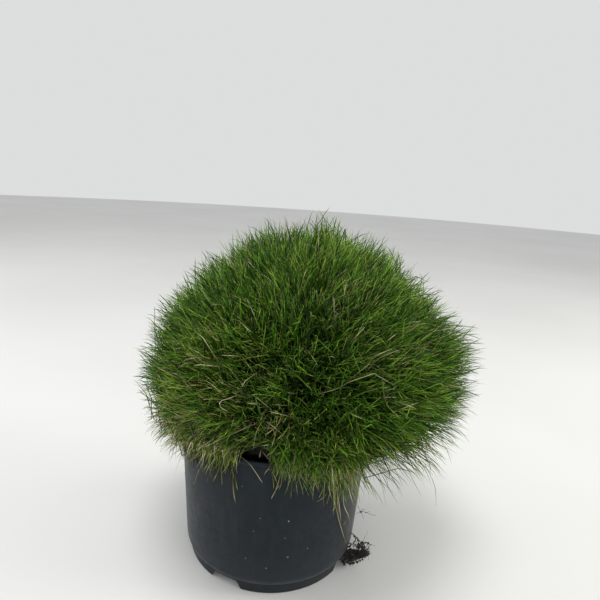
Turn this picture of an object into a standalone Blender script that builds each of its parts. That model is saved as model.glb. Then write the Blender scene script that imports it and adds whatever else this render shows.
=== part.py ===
"""Bearskin fescue in a nursery pot.

One evergreen grass clump, grown into a low spiky cushion that spills over the rim, stands in potting mix
in a black three litre nursery pot. A lump of mix and fine roots has pushed out of one drain notch.

Metres, +Z up. Z = 0 is the surface that the foot stands on, and X = Y = 0 is the middle of the cushion seen
from above. The cushion leans to +X, so the pot's axis lies at POT_X.
"""

import math
import random

import bmesh
import bpy
from mathutils import Matrix, Vector, noise

# Pot
POT_X = -0.0251
POT_HEIGHT = 0.144
RIM_RADIUS = 0.0966
BASE_RADIUS = 0.0892
WALL = 0.0015
BEAD = 0.0007
BEAD_DEPTH = 0.0035
FOOT_HEIGHT = 0.013
SHOULDER_HEIGHT = 0.011
FOOT_RADIUS = 0.0855
FOOT_WIDTH = 0.004
FLOOR = 0.0018
CORNER_RADIUS = 0.005
POT_STEPS = 48

# Drain notches in the foot ring, and drain holes in the floor
NOTCHES = 4
FIRST_NOTCH = math.radians(-118.3)
NOTCH_WIDTH = 0.0335
NOTCH_HEIGHT = 0.0085
NOTCH_SLANT = 0.5
HOLES = 6
HOLE_RADIUS = 0.0045
HOLE_RING = 0.056

# Potting mix
MIX_DEPTH_BELOW_RIM = 0.014
MIX_CROWN = 0.0015
GAP = 0.0004

# Grass cushion: the outline that its tuft tips reach, as a rounded form flattened below
CUSHION_RADIUS = 0.159
CUSHION_HEIGHT = 0.1455
CUSHION_DEPTH = 0.112
CUSHION_MIDDLE = 0.195
CUSHION_POWER = 1.78
TUFT_LENGTH = 0.03
TUFT_ROOTS = 940
TUFT_SPREAD = 0.05
SKIRT_DROP = 0.3
LONGEST_TUFT = 1.02
SHORTEST_TUFT = 0.93
POT_CLEARANCE = 0.002
TUFT_ROOM = 0.0065
ROOT_FULLNESS = 2.6
ROOT_SHIFT = 0.6
SKIRT_PART = math.radians(-101)
SKIRT_PART_WIDTH = math.radians(9)
SEED = 11

# Lump of mix and roots at the drain notch
LUMP_AZIMUTH = math.radians(-25)
LUMP_RADIUS = 0.0915
LUMP_LENGTH = 0.04
LUMP_WIDTH = 0.017
LUMP_HEIGHT = 0.0078
LUMP_BEND = -0.15
LUMP_RISE = 0.0125
LUMP_ROUGHNESS = 0.22
LUMP_SEED = 5


def clear_scene():
    for obj in list(bpy.data.objects):
        bpy.data.objects.remove(obj, do_unlink=True)


def new_collection(name, in_render=True):
    collection = bpy.data.collections.new(name)
    bpy.context.scene.collection.children.link(collection)
    collection.hide_render = not in_render
    return collection


def new_material(name, colour, roughness):
    material = bpy.data.materials.new(name)
    material.use_nodes = True
    shader = material.node_tree.nodes["Principled BSDF"]
    shader.inputs["Base Color"].default_value = (*colour, 1.0)
    shader.inputs["Roughness"].default_value = roughness
    shader.inputs["Metallic"].default_value = 0.0
    material.diffuse_color = (*colour, 1.0)
    return material


def new_object(name, mesh, collection, material=None):
    obj = bpy.data.objects.new(name, mesh)
    if material:
        mesh.materials.append(material)
    collection.objects.link(obj)
    return obj


def mesh_from(bm, name):
    mesh = bpy.data.meshes.new(name)
    bm.to_mesh(mesh)
    bm.free()
    return mesh


def turned(name, profile, collection, material=None, steps=POT_STEPS):
    """A solid turned about its own Z from (radius, height) points, given down its outer side."""
    bm = bmesh.new()
    points = [bm.verts.new((radius, 0.0, height)) for radius, height in profile]
    for upper, lower in zip(points, points[1:]):
        bm.edges.new((upper, lower))
    obj = new_object(name, mesh_from(bm, name), collection, material)
    screw = obj.modifiers.new("turn", "SCREW")
    screw.steps = steps
    screw.render_steps = steps
    screw.use_merge_vertices = True
    screw.merge_threshold = 0.00005
    obj.location.x = POT_X
    return obj


def arc(centre, radius, start, end, pieces):
    """Points on a quarter or other stretch of a circle, in degrees from +X towards +Z."""
    angles = [math.radians(start + (end - start) * i / pieces) for i in range(pieces + 1)]
    return [(centre[0] + radius * math.cos(a), centre[1] + radius * math.sin(a)) for a in angles]


def cut(obj, cutter):
    boolean = obj.modifiers.new("cut " + cutter.name, "BOOLEAN")
    boolean.operation = "DIFFERENCE"
    boolean.solver = "EXACT"
    boolean.object = cutter


def as_cutter(obj):
    obj.hide_render = True
    obj.display_type = "WIRE"
    return obj


def wall_radius(height):
    """Outer radius of the pot's tapered wall."""
    share = (height - FOOT_HEIGHT) / (POT_HEIGHT - FOOT_HEIGHT)
    return BASE_RADIUS + (RIM_RADIUS - BEAD - BASE_RADIUS) * share


def pot_profile():
    floor_top = FOOT_HEIGHT + FLOOR
    inner_base = wall_radius(floor_top) - WALL
    inner_rim = wall_radius(POT_HEIGHT) - WALL
    bead_radius = (RIM_RADIUS - inner_rim) / 2
    corner = (BASE_RADIUS - CORNER_RADIUS, SHOULDER_HEIGHT + CORNER_RADIUS)
    inside = [(0.0, floor_top)]
    inside += arc((inner_base - CORNER_RADIUS, floor_top + CORNER_RADIUS), CORNER_RADIUS, -90, 0, 2)
    rim = arc((RIM_RADIUS - bead_radius, POT_HEIGHT - bead_radius), bead_radius, 180, 0, 4)
    bead_end = POT_HEIGHT - BEAD_DEPTH
    bead = [(RIM_RADIUS, bead_end), (wall_radius(bead_end), bead_end - BEAD)]
    outside = arc(corner, CORNER_RADIUS, 0, -60, 3)
    foot_top = (FOOT_RADIUS, outside[-1][1] - 0.0006)
    foot = [foot_top, (FOOT_RADIUS - 0.0004, 0.0), (FOOT_RADIUS - FOOT_WIDTH, 0.0)]
    underside = [(FOOT_RADIUS - FOOT_WIDTH, FOOT_HEIGHT), (0.0, FOOT_HEIGHT)]
    return inside + rim + bead + outside + foot + underside


def notch_cutters(collection):
    """Blocks through the foot ring, one for each drain notch, with sides that lean in towards the roof."""
    bm = bmesh.new()
    reach = FOOT_WIDTH * 4
    for i in range(NOTCHES):
        turn = Matrix.Rotation(FIRST_NOTCH + i * math.tau / NOTCHES, 4, "Z")
        for vert in bmesh.ops.create_cube(bm, size=1.0)["verts"]:
            height = math.copysign(NOTCH_HEIGHT, vert.co.z)
            side = math.copysign(NOTCH_WIDTH / 2 - NOTCH_SLANT * height, vert.co.y)
            ring = FOOT_RADIUS - FOOT_WIDTH / 2 + reach * vert.co.x
            vert.co = turn @ Vector((ring, side, height))
    obj = new_object("notch_cutters", mesh_from(bm, "notch_cutters"), collection)
    obj.location.x = POT_X
    return as_cutter(obj)


def hole_cutters(collection):
    """Round rods through the floor, one for each drain hole."""
    bm = bmesh.new()
    rod = {"cap_ends": True, "segments": 12, "depth": 6 * FLOOR}
    for i in range(HOLES):
        angle = FIRST_NOTCH + (i + 0.5) * math.tau / HOLES
        place = Matrix.Translation((HOLE_RING * math.cos(angle), HOLE_RING * math.sin(angle), FOOT_HEIGHT))
        bmesh.ops.create_cone(bm, matrix=place, radius1=HOLE_RADIUS, radius2=HOLE_RADIUS, **rod)
    obj = new_object("hole_cutters", mesh_from(bm, "hole_cutters"), collection)
    obj.location.x = POT_X
    return as_cutter(obj)


def make_pot(parts, cutters):
    plastic = new_material("black_plastic", (0.022, 0.026, 0.031), 0.55)
    pot = turned("pot", pot_profile(), parts, plastic)
    cut(pot, notch_cutters(cutters))
    cut(pot, hole_cutters(cutters))
    return pot


def mix_top():
    return POT_HEIGHT - MIX_DEPTH_BELOW_RIM


def make_potting_mix(parts):
    """The root ball: it fills the pot to a little below the rim, and is highest in the middle."""
    floor = FOOT_HEIGHT + FLOOR + GAP
    chamfer = CORNER_RADIUS
    edge = wall_radius(mix_top()) - WALL - GAP
    profile = [
        (0.0, mix_top() + MIX_CROWN),
        (edge * 0.6, mix_top() + MIX_CROWN * 0.7),
        (edge, mix_top() - MIX_CROWN),
        (wall_radius(floor + chamfer) - WALL - GAP, floor + chamfer),
        (wall_radius(floor) - WALL - GAP - chamfer, floor),
        (0.0, floor),
    ]
    mix = new_material("potting_mix", (0.035, 0.024, 0.016), 0.95)
    return turned("potting_mix", profile, parts, mix)


def rounded_form(direction, inset, lower_power):
    """A point of the cushion's form in a direction, inset from its outline and as full below as asked."""
    level = math.hypot(direction.x, direction.y)
    power = 2 / (CUSHION_POWER if direction.z > 0 else lower_power)
    half = CUSHION_HEIGHT if direction.z > 0 else CUSHION_DEPTH
    reach = (CUSHION_RADIUS - inset) * level**power
    rise = math.copysign((half - inset) * abs(direction.z) ** power, direction.z)
    flat = Vector((direction.x, direction.y, 0.0)).normalized() if level > 1e-6 else Vector()
    return flat * reach + Vector((0.0, 0.0, CUSHION_MIDDLE + rise))


def tuft_root(direction):
    """The body that tufts rise from: it is full below, and shifted there to cover the rim all round."""
    point = rounded_form(direction, TUFT_LENGTH, ROOT_FULLNESS)
    below = max(0.0, CUSHION_MIDDLE - point.z) / (CUSHION_MIDDLE - POT_HEIGHT)
    return point + Vector((POT_X * ROOT_SHIFT * min(1.0, below), 0.0, 0.0))


def spiral_directions(count):
    """Directions spread evenly over a sphere along a golden-angle spiral, as a tussock's shoots are."""
    golden = math.pi * (3 - math.sqrt(5))
    for i in range(count):
        height = 1 - 2 * (i + 0.5) / count
        level = math.sqrt(1 - height * height)
        yield Vector((level * math.cos(i * golden), level * math.sin(i * golden), height))


def from_pot_axis(point):
    return math.hypot(point.x - POT_X, point.y)


def over_the_pot(point):
    """Whether a point lies inside the pot, in its wall, or too near to its rim for a tuft to hang free."""
    return point.z < POT_HEIGHT + TUFT_ROOM and from_pot_axis(point) < RIM_RADIUS + TUFT_ROOM


def outside_the_wall(point):
    """The same point, or the nearest at its height where a tuft hangs clear of the pot's wall."""
    if not over_the_pot(point):
        return point
    out = Vector((point.x - POT_X, point.y, 0.0)).normalized() * (RIM_RADIUS + TUFT_ROOM)
    return Vector((POT_X + out.x, out.y, point.z))


def tuft_tip(direction, rng):
    """Where the tuft that points in this direction ends: on the outline, and lower on the skirt."""
    sway = Vector([rng.uniform(-TUFT_SPREAD, TUFT_SPREAD) for _ in range(3)])
    droop = Vector((0.0, 0.0, -SKIRT_DROP * max(0.0, 0.35 - direction.z) ** 2))
    middle = Vector((0.0, 0.0, CUSHION_MIDDLE))
    tip = rounded_form((direction + sway + droop).normalized(), 0.0, CUSHION_POWER)
    return outside_the_wall(middle + (tip - middle) * rng.uniform(SHORTEST_TUFT, LONGEST_TUFT))


def in_skirt_parting(point):
    """Whether a point is in the narrow parting where the rim shows between the hanging tufts."""
    azimuth = math.atan2(point.y, point.x - POT_X)
    return point.z < POT_HEIGHT and abs(azimuth - SKIRT_PART) < SKIRT_PART_WIDTH


def clearance_profile():
    """The pot and its mix with room around them, which the cushion grows out of and hangs over."""
    outer = RIM_RADIUS + POT_CLEARANCE
    inner = wall_radius(mix_top()) - WALL - POT_CLEARANCE
    crown = mix_top() + MIX_CROWN + GAP
    return [
        (0.0, crown),
        (inner, crown),
        (inner, POT_HEIGHT + POT_CLEARANCE),
        (outer, POT_HEIGHT + POT_CLEARANCE),
        (outer, -FOOT_HEIGHT),
        (0.0, -FOOT_HEIGHT),
    ]


def make_fescue(parts, cutters):
    """One clump: a rounded body with a pointed tuft raised on each of its faces."""
    rng = random.Random(SEED)
    bm = bmesh.new()
    for direction in spiral_directions(TUFT_ROOTS):
        bm.verts.new(direction)
    bmesh.ops.convex_hull(bm, input=bm.verts)
    roots = list(bm.verts)
    tufts = bmesh.ops.poke(bm, faces=bm.faces)["verts"]
    for vert in roots:
        vert.co = tuft_root(vert.co.normalized())
    for vert in sorted(tufts, key=lambda vert: tuple(vert.co)):
        direction = vert.co.normalized()
        root = tuft_root(direction)
        tip = tuft_tip(direction, rng)
        bare = over_the_pot(root) or in_skirt_parting(tip)
        vert.co = root if bare else tip
    bmesh.ops.recalc_face_normals(bm, faces=bm.faces)
    green = new_material("grass", (0.07, 0.15, 0.025), 0.6)
    fescue = new_object("fescue", mesh_from(bm, "fescue"), parts, green)
    cut(fescue, as_cutter(turned("pot_clearance", clearance_profile(), cutters)))
    return fescue


def make_drain_roots(parts):
    """A knobbly lump that lies half in the notch and half outside the wall, with its outer end raised."""
    bm = bmesh.new()
    bmesh.ops.create_icosphere(bm, subdivisions=3, radius=1.0)
    for vert in bm.verts:
        lumps = noise.noise(vert.co * 2.3 + Vector((LUMP_SEED, 0.0, 0.0)))
        vert.co *= 1 + LUMP_ROUGHNESS * lumps
        vert.co.z = max(vert.co.z, -0.9)
    lowest = min(vert.co.z for vert in bm.verts)
    for vert in bm.verts:
        past_bend = max(0.0, vert.co.x - LUMP_BEND) / (1 - LUMP_BEND)
        vert.co.z += LUMP_RISE / (LUMP_HEIGHT / 2) * past_bend**1.3 - lowest
    place = Matrix.Translation((POT_X, 0.0, 0.0)) @ Matrix.Rotation(LUMP_AZIMUTH, 4, "Z")
    place @= Matrix.Translation((LUMP_RADIUS, 0.0, GAP))
    size = Matrix.Diagonal((LUMP_LENGTH / 2, LUMP_WIDTH / 2, LUMP_HEIGHT / 2, 1.0))
    bm.transform(place @ size)
    earth = new_material("roots", (0.03, 0.021, 0.015), 0.95)
    return new_object("drain_roots", mesh_from(bm, "drain_roots"), parts, earth)


def main():
    clear_scene()
    parts = new_collection("potted_fescue")
    cutters = new_collection("cutters", in_render=False)
    make_pot(parts, cutters)
    make_potting_mix(parts)
    make_fescue(parts, cutters)
    make_drain_roots(parts)


main()
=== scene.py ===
"""The potted bearskin fescue, dressed: leaves, pot, mix and roots over the solids, with light and camera.

Metres, +Z up. The cushion's middle is on the Z axis and the pot's axis stands at POT_X.
"""

import math

import bmesh
import bpy
import numpy as np
from mathutils import Matrix, Vector, noise


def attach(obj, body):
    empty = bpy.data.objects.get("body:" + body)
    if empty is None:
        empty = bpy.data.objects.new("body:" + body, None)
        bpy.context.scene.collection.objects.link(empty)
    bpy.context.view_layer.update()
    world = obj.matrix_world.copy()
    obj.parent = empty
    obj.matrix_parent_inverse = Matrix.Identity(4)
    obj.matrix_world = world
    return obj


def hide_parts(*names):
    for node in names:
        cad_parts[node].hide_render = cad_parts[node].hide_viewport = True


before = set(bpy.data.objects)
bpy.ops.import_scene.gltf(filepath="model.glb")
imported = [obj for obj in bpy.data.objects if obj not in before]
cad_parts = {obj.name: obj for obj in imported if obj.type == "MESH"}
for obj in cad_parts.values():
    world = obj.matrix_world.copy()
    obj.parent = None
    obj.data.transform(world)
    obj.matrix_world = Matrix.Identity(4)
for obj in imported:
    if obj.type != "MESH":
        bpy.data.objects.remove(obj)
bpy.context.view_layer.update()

# Camera
CAMERA_PLACE = (-0.026, -0.4756, 0.3807)
CAMERA_RIGHT = (0.9977, -0.0195, 0.0654)
CAMERA_DOWN = (0.0589, -0.2376, -0.9696)
CAMERA_FORWARD = (0.0344, 0.9712, -0.2359)
LENS_MM = 29.88
SENSOR_MM = 36.0

# Pot
POT_X = -0.0251
POT_HEIGHT = 0.144
RIM_RADIUS = 0.0966
BASE_RADIUS = 0.0892
WALL = 0.0015
BEAD = 0.0007
BEAD_DEPTH = 0.0035
FOOT_HEIGHT = 0.013
SHOULDER_HEIGHT = 0.011
FOOT_RADIUS = 0.0855
FOOT_WIDTH = 0.004
FOOT_ROUND = 0.0006
FOOT_TAPER = 0.0004
FLOOR = 0.0018
CORNER_RADIUS = 0.005
POT_STEPS = 240
NOTCHES = 4
FIRST_NOTCH = math.radians(-118.3)
NOTCH_WIDTH = 0.0335
NOTCH_HEIGHT = 0.0085
NOTCH_SLANT = 0.5
NOTCH_ROUND = 0.003
HOLES = 6
HOLE_RADIUS = 0.0045
HOLE_RING = 0.056
MIX_TOP = 0.1315
SHARP_ANGLE = math.radians(28)

# Cushion outline
CUSHION_RADIUS = 0.159
CUSHION_HEIGHT = 0.1455
CUSHION_DEPTH = 0.112
CUSHION_POWER = 1.78
MIDDLE = np.array((0.0, 0.0, 0.195))
UP = np.array((0.0, 0.0, 1.0))
CORE_INSET = 0.034
CORE_OVER_MIX = 0.0012
CORE_OVER_RIM = 0.0035

# Leaves
BENT_COUNT = 27500
STRAIGHT_COUNT = 39000
LEAF_PIECES = 3
LEAF_WIDTH = 0.00068
LEAF_SHOWN = 0.060
LEAF_OVER = 0.045
LEAF_JITTER = 0.24
LEAF_SWAY = 0.0105
LONG_SHARE = 0.018
CROWN_HEIGHT = 0.1385
PALE_COUNT = 64
SEED = 7
SWATCHES = 64
LAST_GREEN = 0.56
CORNER_SHARE = 0.56
SINGLE_STATIONS = 9

# How the leaves keep clear of the pot, and how low they reach
LOWEST_BASE = 0.098
MOUTH_TOP = 0.150
POT_CLEAR = 0.0012
OVER_RIM = 0.0014
TIP_CLEAR = 0.003
TIP_OVER = 0.004
RIM_ZONE = 0.010
WALL_ZONE = 0.012
LOOSE_HEM = 0.116
LOOSE_OUT = 0.007
LEFT_AZIMUTH = -158
LEFT_SPREAD = 16

# Skirt against the wall
SKIRT_COUNT = 2500
SKIRT_TOP = 0.158
SKIRT_DEPTH = 0.014
SKIRT_ROOTS = (0.072, 0.087)
SKIRT_OUT = 0.030
SKIRT_LIFT = (0.055, 0.085)
SKIRT_FALL = 0.050
SKIRT_DRY = 0.44

# Strays: azimuths and elevations in degrees, in front and at the left
STRAY_COUNT = 700
STRAY_AZIMUTHS = (-78, 12)
STRAY_ELEVATIONS = (-36, 2)
LEFT_AZIMUTHS = (-176, -140)
LEFT_ELEVATIONS = (-36, -18)
STRAY_ROOT = 0.86
STRAY_DROP = 0.022
STRAY_DRY = 0.12

# Gap between the hanging leaves in front where the rim shows, its top at the rim and the top's slope outwards
PARTING_X = -0.0412
PARTING_HALF = 0.0130
PARTING_TOP = 0.162
PARTING_SLOPE = 0.58
PARTING_DEEPEST = 0.025
PARTING_ROUND = 0.012

# Loose fringe along the lower edge on the right
FRINGE_AZIMUTH = -32
FRINGE_HALF = 52
FRINGE_FADE = 18
FRINGE_TOP = 0.190
FRINGE_DEPTH = 0.05

# Lump of earth and roots at the foot
LUMP_AZIMUTH = math.radians(-25)
LUMP_RADIUS = 0.0915
LUMP_LENGTH = 0.04
LUMP_WIDTH = 0.017
LUMP_HEIGHT = 0.0078
LUMP_BEND = -0.15
LUMP_RISE = 0.0125


def link(obj):
    bpy.context.scene.collection.objects.link(obj)
    return obj


def placed(mesh, name, material):
    mesh.materials.append(material)
    mesh.shade_smooth()
    return link(bpy.data.objects.new(name, mesh))


def unit(vectors):
    length = np.linalg.norm(vectors, axis=-1, keepdims=True)
    return vectors / np.maximum(length, 1e-9)


def cushion_halves(directions, inset):
    return np.where(directions[:, 2] > 0, CUSHION_HEIGHT, CUSHION_DEPTH) - inset


def cushion_point(directions, inset=0.0):
    """Where lines from the cushion's middle in these directions meet its outline."""
    level = np.hypot(directions[:, 0], directions[:, 1])
    halves = cushion_halves(directions, inset)
    spread = (level / (CUSHION_RADIUS - inset)) ** CUSHION_POWER
    rise = (np.abs(directions[:, 2]) / halves) ** CUSHION_POWER
    reach = (spread + rise) ** (-1 / CUSHION_POWER)
    return MIDDLE + directions * reach[:, None]


def toward(points, share):
    """The points moved to this share of their way from the cushion's middle."""
    return MIDDLE + (points - MIDDLE) * share


def cushion_normal(points):
    offset = points - MIDDLE
    level = np.maximum(np.hypot(offset[:, 0], offset[:, 1]), 1e-6)
    halves = cushion_halves(offset, 0.0)
    out = level ** (CUSHION_POWER - 1) / CUSHION_RADIUS**CUSHION_POWER
    up = np.abs(offset[:, 2]) ** (CUSHION_POWER - 1) / halves**CUSHION_POWER
    flat = offset[:, :2] / level[:, None]
    return unit(np.column_stack((flat * out[:, None], np.sign(offset[:, 2]) * up)))


def spiral_directions(count):
    golden = math.pi * (3 - math.sqrt(5))
    index = np.arange(count)
    height = 1 - 2 * (index + 0.5) / count
    level = np.sqrt(1 - height * height)
    return np.column_stack((level * np.cos(index * golden), level * np.sin(index * golden), height))


def waves(points, size, seed, count=14):
    """Smooth noise from -1 to 1 for each point, with bumps about this size."""
    rng = np.random.default_rng(seed)
    total = np.zeros(points.shape[:-1])
    for direction in unit(rng.normal(size=(count, 3))):
        pitch = 2 * math.pi / (size * rng.uniform(1.3, 3.2))
        total += np.sin(points @ direction * pitch + rng.uniform(0, 2 * math.pi))
    return total / math.sqrt(count / 2) / 1.6


def wave_vectors(points, size, seed):
    return np.column_stack([waves(points, size, seed + i) for i in range(3)])


def below(points, top, depth):
    """For each point, 0 from this height up and 1 from this depth under it down."""
    return np.clip((top - points[..., 2]) / depth, 0, 1)


def pot_distance(points):
    return np.hypot(points[..., 0] - POT_X, points[..., 1])


def pot_azimuth(points):
    return np.arctan2(points[..., 1], points[..., 0] - POT_X)


def round_pot(azimuth, radius, height):
    return np.column_stack((POT_X + radius * np.cos(azimuth), radius * np.sin(azimuth), height))


def headings(azimuth, elevation):
    """Rows of directions from angles in degrees."""
    a, e = np.radians(azimuth), np.radians(elevation)
    return np.column_stack((np.cos(a) * np.cos(e), np.sin(a) * np.cos(e), np.sin(e)))


def hermite(start, start_pull, end, end_pull, t):
    """Points of the curves with these ends and pulls, at a row of t for all of them or for each."""
    t = np.atleast_2d(t)[..., None]
    a = 2 * t**3 - 3 * t**2 + 1
    b = t**3 - 2 * t**2 + t
    c = -2 * t**3 + 3 * t**2
    d = t**3 - t**2
    s, sp, e, ep = (v[:, None, :] for v in (start, start_pull, end, end_pull))
    return a * s + b * sp + c * e + d * ep


def grown_curves(tips, tip_ways, shown, stations, rng):
    """For each tip, points along the outer part of a leaf that grew from the crown to it."""
    count = len(tips)
    out = unit(tips - MIDDLE)
    low = np.clip(1.05 - out[:, 2], 0.0, 1.0)
    axis_x = POT_X * (0.35 + 0.65 * low)
    azimuth = np.arctan2(tips[:, 1], tips[:, 0] - axis_x) + rng.normal(0, 0.16, count)
    radius = 0.014 + 0.068 * low * rng.uniform(0.75, 1.0, count)
    height = CROWN_HEIGHT + rng.uniform(0, 0.004, count)
    roots = np.column_stack((axis_x + radius * np.cos(azimuth), radius * np.sin(azimuth), height))
    climb = np.radians(84 - 36 * low)
    level = np.cos(climb)
    launch = np.column_stack((level * np.cos(azimuth), level * np.sin(azimuth), np.sin(climb)))
    reach = np.linalg.norm(tips - roots, axis=1, keepdims=True)
    launch *= np.maximum(reach, 0.075)
    landing = tip_ways * reach
    fine = np.linspace(0, 1, 33)
    path = hermite(roots, launch, tips, landing, fine)
    steps = np.linalg.norm(np.diff(path, axis=1), axis=2)
    to_tip = np.concatenate((np.cumsum(steps[:, ::-1], axis=1)[:, ::-1], np.zeros((count, 1))), axis=1)
    shown = np.minimum(shown, to_tip[:, 0])
    begin = np.array([np.interp(-s, -row, fine) for s, row in zip(shown, to_tip)])
    t = begin[:, None] + (1 - begin[:, None]) * np.asarray(stations)[None, :]
    return hermite(roots, launch, tips, landing, t)


def clear_of_pot(curves):
    """The same curves with any point in the pot's wall lifted over the rim or moved outside it."""
    curves = curves.copy()
    distance = pot_distance(curves)
    outside = RIM_RADIUS + POT_CLEAR
    hit = (curves[..., 2] < POT_HEIGHT + POT_CLEAR) & (distance < outside)
    over = hit & (curves[..., 2] > MIX_TOP) & (distance > RIM_RADIUS - RIM_ZONE)
    curves[..., 2][over] = POT_HEIGHT + OVER_RIM
    hidden = hit & ~over & (distance > RIM_RADIUS - WALL_ZONE)
    scale = outside / np.maximum(distance, 1e-6)
    curves[..., 0][hidden] = POT_X + ((curves[..., 0] - POT_X) * scale)[hidden]
    curves[..., 1][hidden] = (curves[..., 1] * scale)[hidden]
    return curves


def leaf_object(name, curves, widths, profile, swatches, material, rng, first=0.0):
    """One closed mesh of three-sided needles, a ring of corners at each station and a point at the end.

    The leaf's colour starts at the share `first` of the way from root to tip.
    """
    count, stations, _ = curves.shape
    rings = stations - 1
    ways = unit(np.gradient(curves, axis=1))
    side = unit(np.cross(ways, unit(rng.normal(size=(count, 1, 3)))))
    other = np.cross(ways, side)
    half = widths[:, None] * np.asarray(profile)[None, :rings] * CORNER_SHARE
    corners = []
    for k in range(3):
        angle = 2 * math.pi * k / 3
        offset = side[:, :rings] * math.cos(angle) + other[:, :rings] * math.sin(angle)
        corners.append(curves[:, :rings] + offset * half[..., None])
    ring_points = np.stack(corners, axis=2).reshape(count, rings * 3, 3)
    points = np.concatenate((ring_points, curves[:, -1:, :]), axis=1).reshape(-1, 3)

    faces, places = [(0, 2, 1)], [((0.0, 0.0), (0.66, 0.0), (0.33, 0.02))]
    share = np.linspace(first, 1, stations)
    for ring in range(rings):
        low, high = share[ring], share[ring + 1]
        for k in range(3):
            a, b = ring * 3 + k, ring * 3 + (k + 1) % 3
            left, right = k / 3, (k + 1) / 3
            if ring == rings - 1:
                faces.append((a, b, rings * 3))
                places.append(((left, low), (right, low), ((k + 0.5) / 3, 1.0)))
            else:
                faces += [(a, b, b + 3), (a, b + 3, a + 3)]
                places += [((left, low), (right, low), (right, high)), ((left, low), (right, high), (left, high))]
    faces, places = np.array(faces), np.array(places)
    all_faces = (faces[None] + (np.arange(count) * (rings * 3 + 1))[:, None, None]).reshape(-1, 3)
    u = (swatches[:, None, None] + 0.15 + 0.7 * places[None, :, :, 0]) / SWATCHES
    v = np.broadcast_to(0.01 + 0.98 * places[None, :, :, 1], u.shape)
    uv = np.stack((u, v), axis=-1)

    mesh = bpy.data.meshes.new(name)
    mesh.vertices.add(len(points))
    mesh.vertices.foreach_set("co", points.astype(np.float32).ravel())
    mesh.loops.add(all_faces.size)
    mesh.loops.foreach_set("vertex_index", all_faces.astype(np.int32).ravel())
    mesh.polygons.add(len(all_faces))
    mesh.polygons.foreach_set("loop_start", np.arange(0, all_faces.size, 3, dtype=np.int32))
    mesh.uv_layers.new(name="OFBake").uv.foreach_set("vector", uv.astype(np.float32).ravel())
    mesh.update(calc_edges=True)
    return placed(mesh, name, material)


class Nodes:
    """Short calls for building a material's node tree."""

    def __init__(self, name):
        self.material = bpy.data.materials.new(name)
        self.material.use_nodes = True
        self.tree = self.material.node_tree
        self.shader = self.tree.nodes["Principled BSDF"]

    def put(self, socket, value):
        if isinstance(value, bpy.types.NodeSocket):
            self.tree.links.new(value, socket)
        else:
            socket.default_value = value

    def new(self, kind, inputs, **settings):
        node = self.tree.nodes.new("ShaderNode" + kind)
        for key, value in settings.items():
            setattr(node, key, value)
        for key, value in inputs.items():
            self.put(node.inputs[key], value)
        return node.outputs

    def surface(self, **inputs):
        """Sets inputs of the shader, with _ for each space in their names, and gives the material."""
        for name, value in inputs.items():
            self.put(self.shader.inputs[name.replace("_", " ")], value)
        return self.material

    def place(self):
        return self.new("TexCoord", {})["Object"]

    def ramp(self, factor, *stops):
        node = self.tree.nodes.new("ShaderNodeValToRGB")
        elements = node.color_ramp.elements
        while len(elements) < len(stops):
            elements.new(0.5)
        for element, (place, colour) in zip(elements, stops):
            element.position = place
            element.color = (*colour, 1.0)
        self.put(node.inputs["Fac"], factor)
        return node.outputs["Color"]

    def mix(self, factor, a, b, blend="MIX"):
        a, b = (v if isinstance(v, bpy.types.NodeSocket) else (*v, 1.0) for v in (a, b))
        return self.new("Mix", {"Factor": factor, 6: a, 7: b}, data_type="RGBA", blend_type=blend)[2]

    def math(self, operation, a, b=0.0):
        return self.new("Math", {0: a, 1: b}, operation=operation)[0]

    def times(self, a, b):
        return self.math("MULTIPLY", a, b)

    def range(self, value, low, high, to_low=0.0, to_high=1.0):
        inputs = {"Value": value, "From Min": low, "From Max": high, "To Min": to_low, "To Max": to_high}
        return self.new("MapRange", inputs)["Result"]

    def noise(self, vector, scale, detail=3.0, roughness=0.55):
        inputs = {"Vector": vector, "Scale": scale, "Detail": detail, "Roughness": roughness}
        return self.new("TexNoise", inputs)["Fac"]

    def cells(self, vector, scale):
        """Distance to the middle of each cell, and three random values of the cell."""
        cell = self.new("TexVoronoi", {"Vector": vector, "Scale": scale}, feature="F1")
        return cell["Distance"], self.new("SeparateColor", {0: cell["Color"]})

    def stretched(self, vector, scale):
        return self.new("Mapping", {"Vector": vector, "Scale": scale})["Vector"]

    def bump(self, height, strength, distance):
        return self.new("Bump", {"Strength": strength, "Distance": distance, "Height": height})["Normal"]


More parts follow.
